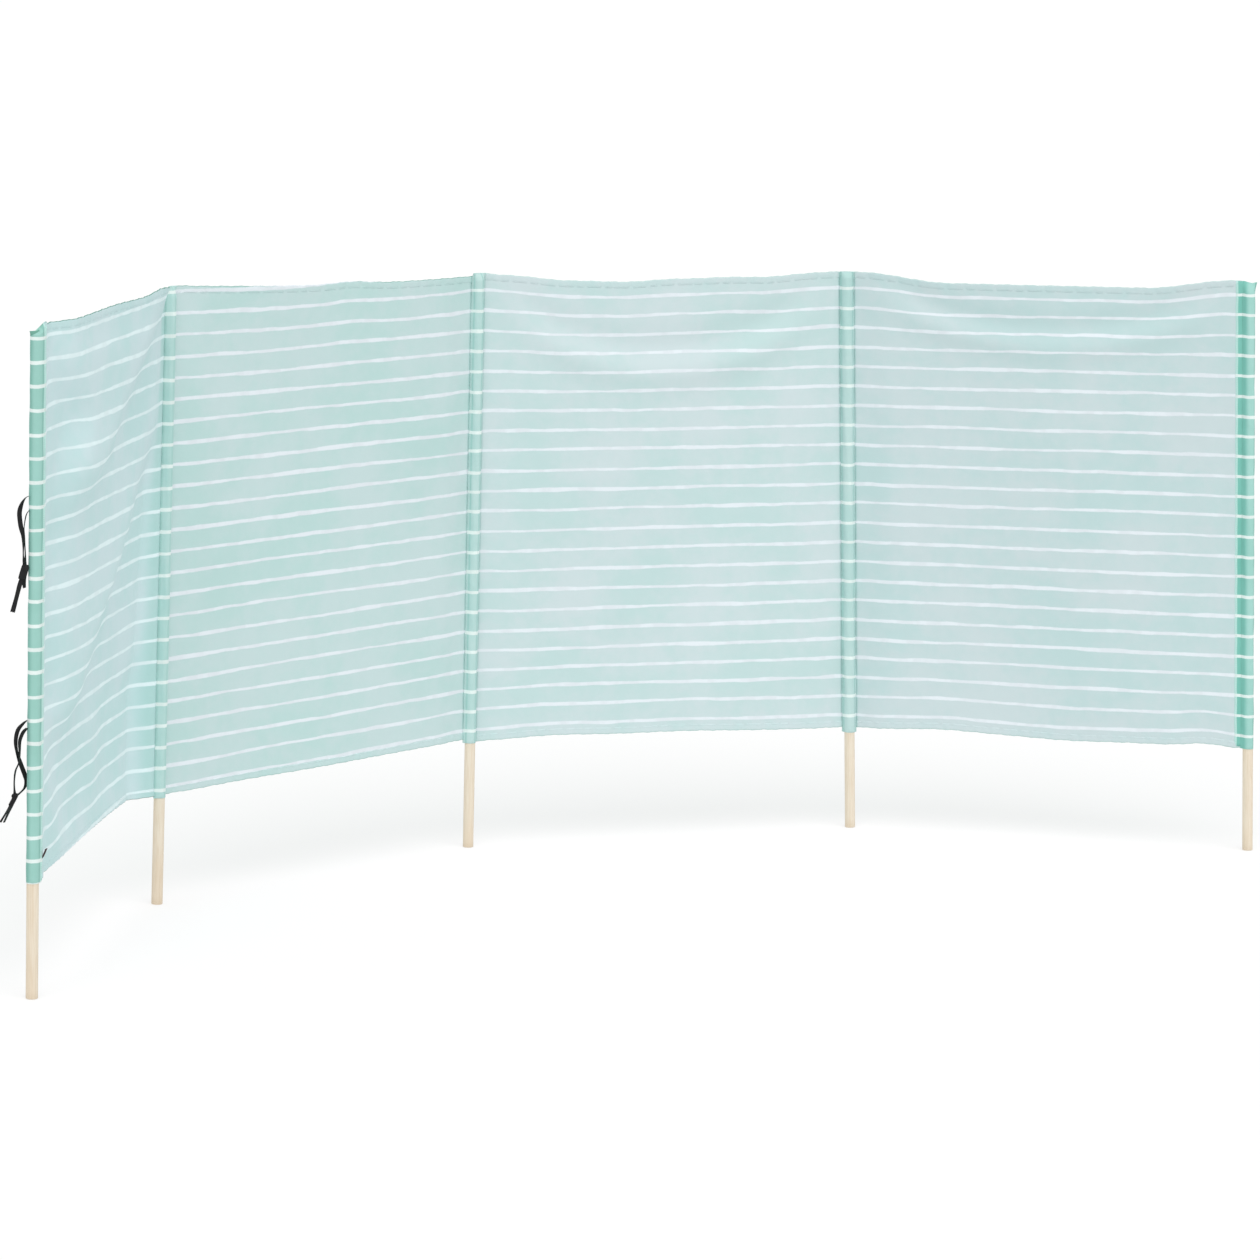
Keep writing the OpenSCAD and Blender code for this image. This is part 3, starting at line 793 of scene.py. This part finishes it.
# ------------------------------------------------------------------ sleeves
def sleeve_mesh(pi):
    """Cloth pocket round pole pi. Round where the pole fills it, pinched to a flat sewn edge at each side that has a panel, and sewn flat across the top."""
    end = pi in (0, 4)
    # directions in plan to the cloth on the left and right
    eL = -along(pi - 1) / BAY if pi > 0 else None
    eR = along(pi) / BAY if pi < 4 else None
    if pi == 0:
        turned = math.radians(HEADINGS[0]) - P1_TURN
        eR = np.array([math.cos(turned), math.sin(turned)])
        eL = -eR
    if pi == 4:
        eR = -eL
    tipL = 0.0165 if pi != 0 else None
    tipR = 0.0165 if pi != 4 else None
    # the seams of the inner pockets sit at their back corners
    back_turn = 0.0 if end else math.radians(30)
    aL = math.atan2(eL[1], eL[0]) - back_turn
    aR = math.atan2(eR[1], eR[0]) + back_turn
    # the front (hollow side) arc runs from aL up to aR the -Y way
    while aR < aL:
        aR += 2 * math.pi
    nf, nb = 28, 28
    th_list = [aL + (aR - aL) * k / nf for k in range(nf)] + [aR + (aL + 2 * math.pi - aR) * k / nb for k in range(nb)]
    m_ = nf + nb

    def radius(a):
        r = TUBE_R
        for tip, ang in ((tipL, aL), (tipR, aR)):
            if tip is None:
                continue
            d = abs((a - ang + math.pi) % (2 * math.pi) - math.pi)
            al = math.acos(TUBE_R / tip)
            if d < al:
                r = max(r, TUBE_R / math.cos(al - d))
        return r
    rows = []
    z_top, z_low = POLE_TOP[pi], POLE_BOTTOM[pi]
    z_shut = 1.1865 if pi else z_top - 0.0075
    zs = list(np.linspace(z_low, z_shut - 0.002, 152)) + list(np.linspace(z_shut - 0.001, z_top, 16))
    pitch = POLE_PITCH[pi] / PITCH
    rnd = random.Random(500 + pi)
    ph = [rnd.uniform(0, 6.28) for _ in range(8)]
    perim = [0.0]
    pts0 = [np.array([math.cos(a), math.sin(a)]) * radius(a) for a in th_list]
    for k in range(1, m_ + 1):
        perim.append(perim[-1] + float(np.linalg.norm(pts0[k % m_] - pts0[k - 1])))
    halfw = 0.0168 if not end else 0.0138 if pi == 0 else 0.0160
    fr = np.array([math.cos((aL + aR) / 2), math.sin((aL + aR) / 2)])
    ud = pole_dir(pi)
    verts, uvs, levels = [], [], []
    for z in zs:
        t = min(1.0, max(0.0, (z - z_shut) / (z_top - 0.0008 - z_shut))) ** 1.6
        near_top = min(1.0, max(0.0, (z - 1.14) / (z_top - 1.14)))
        for k in range(m_):
            a = th_list[k]
            r = radius(a)
            # soft creases where the cloth sits loosely round the pole
            r += 0.00035 * math.sin(3 * a + 40 * z + ph[0]) * math.sin(17 * z + ph[1]) + 0.00022 * math.sin(95 * z + ph[2] + 2 * a)
            r += 0.0002 * math.sin(33 * z + 5 * a + ph[3])
            rd = np.array([math.cos(a), math.sin(a)]) * r
            # flat closed shape at the top
            if k < nf:
                q = -1 + 2 * k / nf
                side = 0.0008
            else:
                q = 1 - 2 * (k - nf) / nb
                side = -0.0008
            flat = (eR * (q * halfw) if q > 0 else eL * (-q * halfw)) + fr * side
            xy = rd * (1 - t) + flat * t
            drop = 0.0
            if pi == 0:
                # the pocket's top steps down from the cloth to the outer side
                drop = float(near_top * (0.0090 * (1 - sstep(q, -0.1, 0.75)) - 0.0060 * sstep(q, 0.5, 1.0)))
            elif pi == 4:
                # it slopes down from the flap to the outer side, where its corner stands out as an ear
                drop = float(near_top * 0.0040 * sstep(q, -0.9, 0.4) - t * 0.0025 * sstep(q, 0.55, 1.0))
            zz = z - drop
            c = FEET[pi] + ud[:2] * (zz / ud[2])
            verts.append(np.array([c[0] + xy[0], c[1] + xy[1], zz]))
            uvs.append((perim[k], (zz - POLE_PHASE[pi]) / pitch))
            levels.append((q, zz))
    nrow = len(zs)
    faces, fm = [], []
    for r_ in range(nrow - 1):
        for k in range(m_):
            k2 = (k + 1) % m_
            faces.append((r_ * m_ + k, r_ * m_ + k2, (r_ + 1) * m_ + k2, (r_ + 1) * m_ + k))
            q_, z_ = levels[(r_ + 1) * m_ + k]
            # painted shade: faces in the first pocket's top front-left corner take the dark cloth, a wedge of shade
            # under the fold of its closed top
            shade_wedge = pi == 0 and k < nf and q_ < 0.15 and z_ > 1.1955 - 0.0075 * (0.15 - q_) / 1.15
            fm.append(3 if shade_wedge else 1 if k >= nf and pi else 0)
    # top closed: pair front and back points
    b = (nrow - 1) * m_
    faces.append(tuple(b + k for k in range(m_)))
    fm.append(1)
    # foot: rolled edge, then a lining that goes up beside the pole
    ring = []
    for rr, zz in ((0.0, z_low - 0.0006), (1.0, z_low - 0.0004), (1.0, z_low + 0.03)):
        start = len(verts)
        for k in range(m_):
            a = th_list[k]
            ro = radius(a) - 0.0004
            ri = 0.01115
            r = ro if rr == 0 else ri
            c = FEET[pi] + ud[:2] * (zz / ud[2])
            verts.append(np.array([c[0] + math.cos(a) * r, c[1] + math.sin(a) * r, zz]))
            uvs.append((perim[k], (zz - POLE_PHASE[pi]) / pitch))
        ring.append(start)
    prev = 0
    for start in ring:
        for k in range(m_):
            k2 = (k + 1) % m_
            faces.append((prev + k2, prev + k, start + k, start + k2))
            fm.append(1 if k >= nf and pi else 0)
        prev = start
    faces.append(tuple(ring[-1] + k for k in range(m_))[::-1])
    fm.append(0)
    # stitches down both sewn edges
    sv, sf = [], []
    zl = np.linspace(z_low + 0.004, 1.184, 240)
    for tip, ang, e in ((tipL, aL, eL), (tipR, aR, eR)):
        if tip is None:
            continue
        for side in (-1, 1):
            d = 0.0150 if not end else 0.0150
            al = math.acos(TUBE_R / tip)
            da = 0.16 * side
            rr = TUBE_R / math.cos(al - abs(da))
            pts, nrm = [], []
            nv = np.array([math.cos(ang + side * (math.pi / 2 - 0.6)), math.sin(ang + side * (math.pi / 2 - 0.6)), 0])
            for z in zl:
                c = FEET[pi] + ud[:2] * (z / ud[2])
                pts.append([c[0] + math.cos(ang + da) * rr, c[1] + math.sin(ang + da) * rr, z])
                nrm.append(nv)
            stitch_run(np.array(pts), np.array(nrm), sv, sf)
    base = len(verts)
    verts += sv
    uvs += [(0.0, 0.0)] * len(sv)
    faces += [tuple(base + q for q in f) for f in sf]
    fm += [2] * len(sf)
    o = make_mesh(f"pocket_cloth_{pi + 1}", verts, faces, uvs, [mat_end[pi] or mat_band[pi], mat_front, mat_thread_deep if end else mat_thread, mat_shade_wedge], fm)
    return o


def flap_mesh(pi):
    """The sewn-down flap beside an end pocket: a strip of the printed side folded onto the hollow face."""
    i = 0 if pi == 0 else 3
    nz, nc = 150, 6
    lowest = POLE_BOTTOM[pi] + 0.003
    zz = np.linspace(lowest, POLE_TOP[pi] - 0.0006, nz + 1)
    w0, w1 = 0.0, ((0.0150 if pi == 4 else 0.007) + 0.0012) / WIDTHS[i]
    cols = np.linspace(w0, w1, nc + 1)
    if pi == 4:
        cols = 1 - cols
    rnd = random.Random(800 + pi)
    ph = [rnd.uniform(0, 6.28) for _ in range(3)]
    verts, uvs = [], []
    for layer in (0, 1):
        for z in zz:
            u = cols
            p, nn = bay_surface(i, u, np.full_like(u, z))
            for c in range(nc + 1):
                q = c / nc
                lift = -0.0016 + 0.0010 * sstep(q, 0.75, 1.0) if layer == 0 else -0.0003
                if layer == 0:
                    lift -= 0.0003 * math.sin(z * 60 + ph[0]) * math.sin(math.pi * q) + 0.0002 * math.sin(z * 210 + ph[1])
                wave = 0.0004 * math.sin(z * 95 + ph[2]) * q
                pt = p[c] + nn[c] * lift
                e = (along(i) / BAY) * (1 if pi == 0 else -1) * wave
                verts.append(pt + np.array([e[0], e[1], 0]))
                uvs.append((0.01 + q * FLAP * 1.1, (z - POLE_PHASE[pi]) * PITCH / POLE_PITCH[pi]))
    w = nc + 1
    N = (nz + 1) * w
    faces, fm = [], []
    flip = pi == 4

    def add(f):
        faces.append(f[::-1] if flip else f)
        fm.append(0)
    for r in range(nz):
        for c in range(nc):
            k = r * w + c
            add((k, k + 1, k + 1 + w, k + w))
            add((k + N, k + w + N, k + 1 + w + N, k + 1 + N))
        k = r * w
        add((k, k + w, k + w + N, k + N))
        k = r * w + nc
        add((k, k + N, k + w + N, k + w))
    for c in range(nc):
        add((c, c + N, c + 1 + N, c + 1))
        k = nz * w + c
        add((k, k + 1, k + 1 + N, k + N))
    sv, sf = [], []
    for which in (0.80,):
        u_s = np.array([cols[0] + (cols[-1] - cols[0]) * which])
        pts, nrm = [], []
        for z in np.linspace(lowest + 0.004, POLE_TOP[pi] - 0.004, 200):
            p, nn = bay_surface(i, u_s, np.array([z]))
            pts.append(p[0] - nn[0] * 0.0015)
            nrm.append(-nn[0])
        stitch_run(np.array(pts), np.array(nrm), sv, sf)
        # the same row shows on the back of the cloth
        pts, nrm = [], []
        for z in np.linspace(lowest + 0.004, POLE_TOP[pi] - 0.004, 200):
            p, nn = bay_surface(i, u_s, np.array([z]))
            pts.append(p[0] + nn[0] * 0.0004)
            nrm.append(nn[0])
        stitch_run(np.array(pts), np.array(nrm), sv, sf)
    base = len(verts)
    verts += sv
    uvs += [(0.0, 0.0)] * len(sv)
    faces += [tuple(base + q for q in f) for f in sf]
    fm += [1] * len(sf)
    return make_mesh(f"flap_cloth_{pi + 1}", verts, faces, uvs, [mat_flap[pi], mat_thread_deep if pi == 4 else mat_thread], fm)


POLE_BODY = ["bay_1", "bay_2", "bay_2", "bay_3", "bay_4"]
sleeves = []
for pi in range(5):
    o = sleeve_mesh(pi)
    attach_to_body(o, POLE_BODY[pi])
    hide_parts(f"sleeve_{pi + 1}")
    sleeves.append(o)
for pi in (0, 4):
    o = flap_mesh(pi)
    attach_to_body(o, POLE_BODY[pi])
    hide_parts(f"end_flap_{pi + 1}")
panels = []
for i in range(4):
    p = panel_mesh(i)
    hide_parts(f"panel_{i + 1}")
    th_ = hem_mesh(i, True)
    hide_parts(f"top_hem_{i + 1}")
    bh = hem_mesh(i, False)
    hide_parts(f"bottom_hem_{i + 1}")
    for o in (p, th_, bh):
        attach(o, i)
    panels.append(p)

for n in range(1, 6):
    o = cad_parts[f"pole_{n}"]
    o.data.materials.clear()
    o.data.materials.append(mat_wood)

# the small loop of folded tape sewn in low beside the left pocket: (along the cloth, out of it to the front, height)
e_ = along(0) / BAY
f_ = np.array([e_[1], -e_[0]])
loop_route = []
for a_, b_, z_ in ((0.0130, 0.0118, 0.2540), (0.0135, 0.0140, 0.2565), (0.0145, 0.0165, 0.2615), (0.0160, 0.0185, 0.2670), (0.0175, 0.0190, 0.2695),
                   (0.0190, 0.0180, 0.2680), (0.0185, 0.0160, 0.2630), (0.0180, 0.0138, 0.2585), (0.0175, 0.0120, 0.2560)):
    xy_ = axis_at(0, z_) + e_ * a_ + f_ * b_
    loop_route.append(np.array([xy_[0], xy_[1], z_]))
loop, _, _ = ribbon("tape_loop_cloth", loop_route, [60, 60, 60, 60, 60, 60, 60, 60, 60], 0.0055, 0.0006, mat_loop, False)
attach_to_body(loop, "bay_1")
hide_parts("tape_loop")

# ------------------------------------------------------------------ floor, light
bpy.ops.mesh.primitive_plane_add(size=1, location=(0, 0, -0.001))
floor = bpy.context.object
floor.name = "floor"
floor.scale = (500, 500, 1)
k = Nodes("pale_floor")
k.bsdf.inputs["Base Color"].default_value = (0.33, 0.33, 0.33, 1)
k.bsdf.inputs["Roughness"].default_value = 0.9
k.bsdf.inputs["Specular IOR Level"].default_value = 0.1
k.bsdf.inputs["Emission Color"].default_value = (1.0, 1.0, 1.0, 1)
k.bsdf.inputs["Emission Strength"].default_value = 0.64
floor.data.materials.append(k.mat)

world = bpy.data.worlds.new("studio")
bpy.context.scene.world = world
world.use_nodes = True
bg = world.node_tree.nodes["Background"]
bg.inputs[0].default_value = (1.0, 1.0, 1.0, 1.0)
bg.inputs[1].default_value = 0.68


sun = bpy.data.lights.new("key", "SUN")
sun.energy = 1.55
sun.angle = math.radians(50)
sun_o = bpy.data.objects.new("key", sun)
bpy.context.scene.collection.objects.link(sun_o)
sun_o.rotation_euler = Vector((-0.10, 0.46, -0.86)).to_track_quat("-Z", "Y").to_euler()
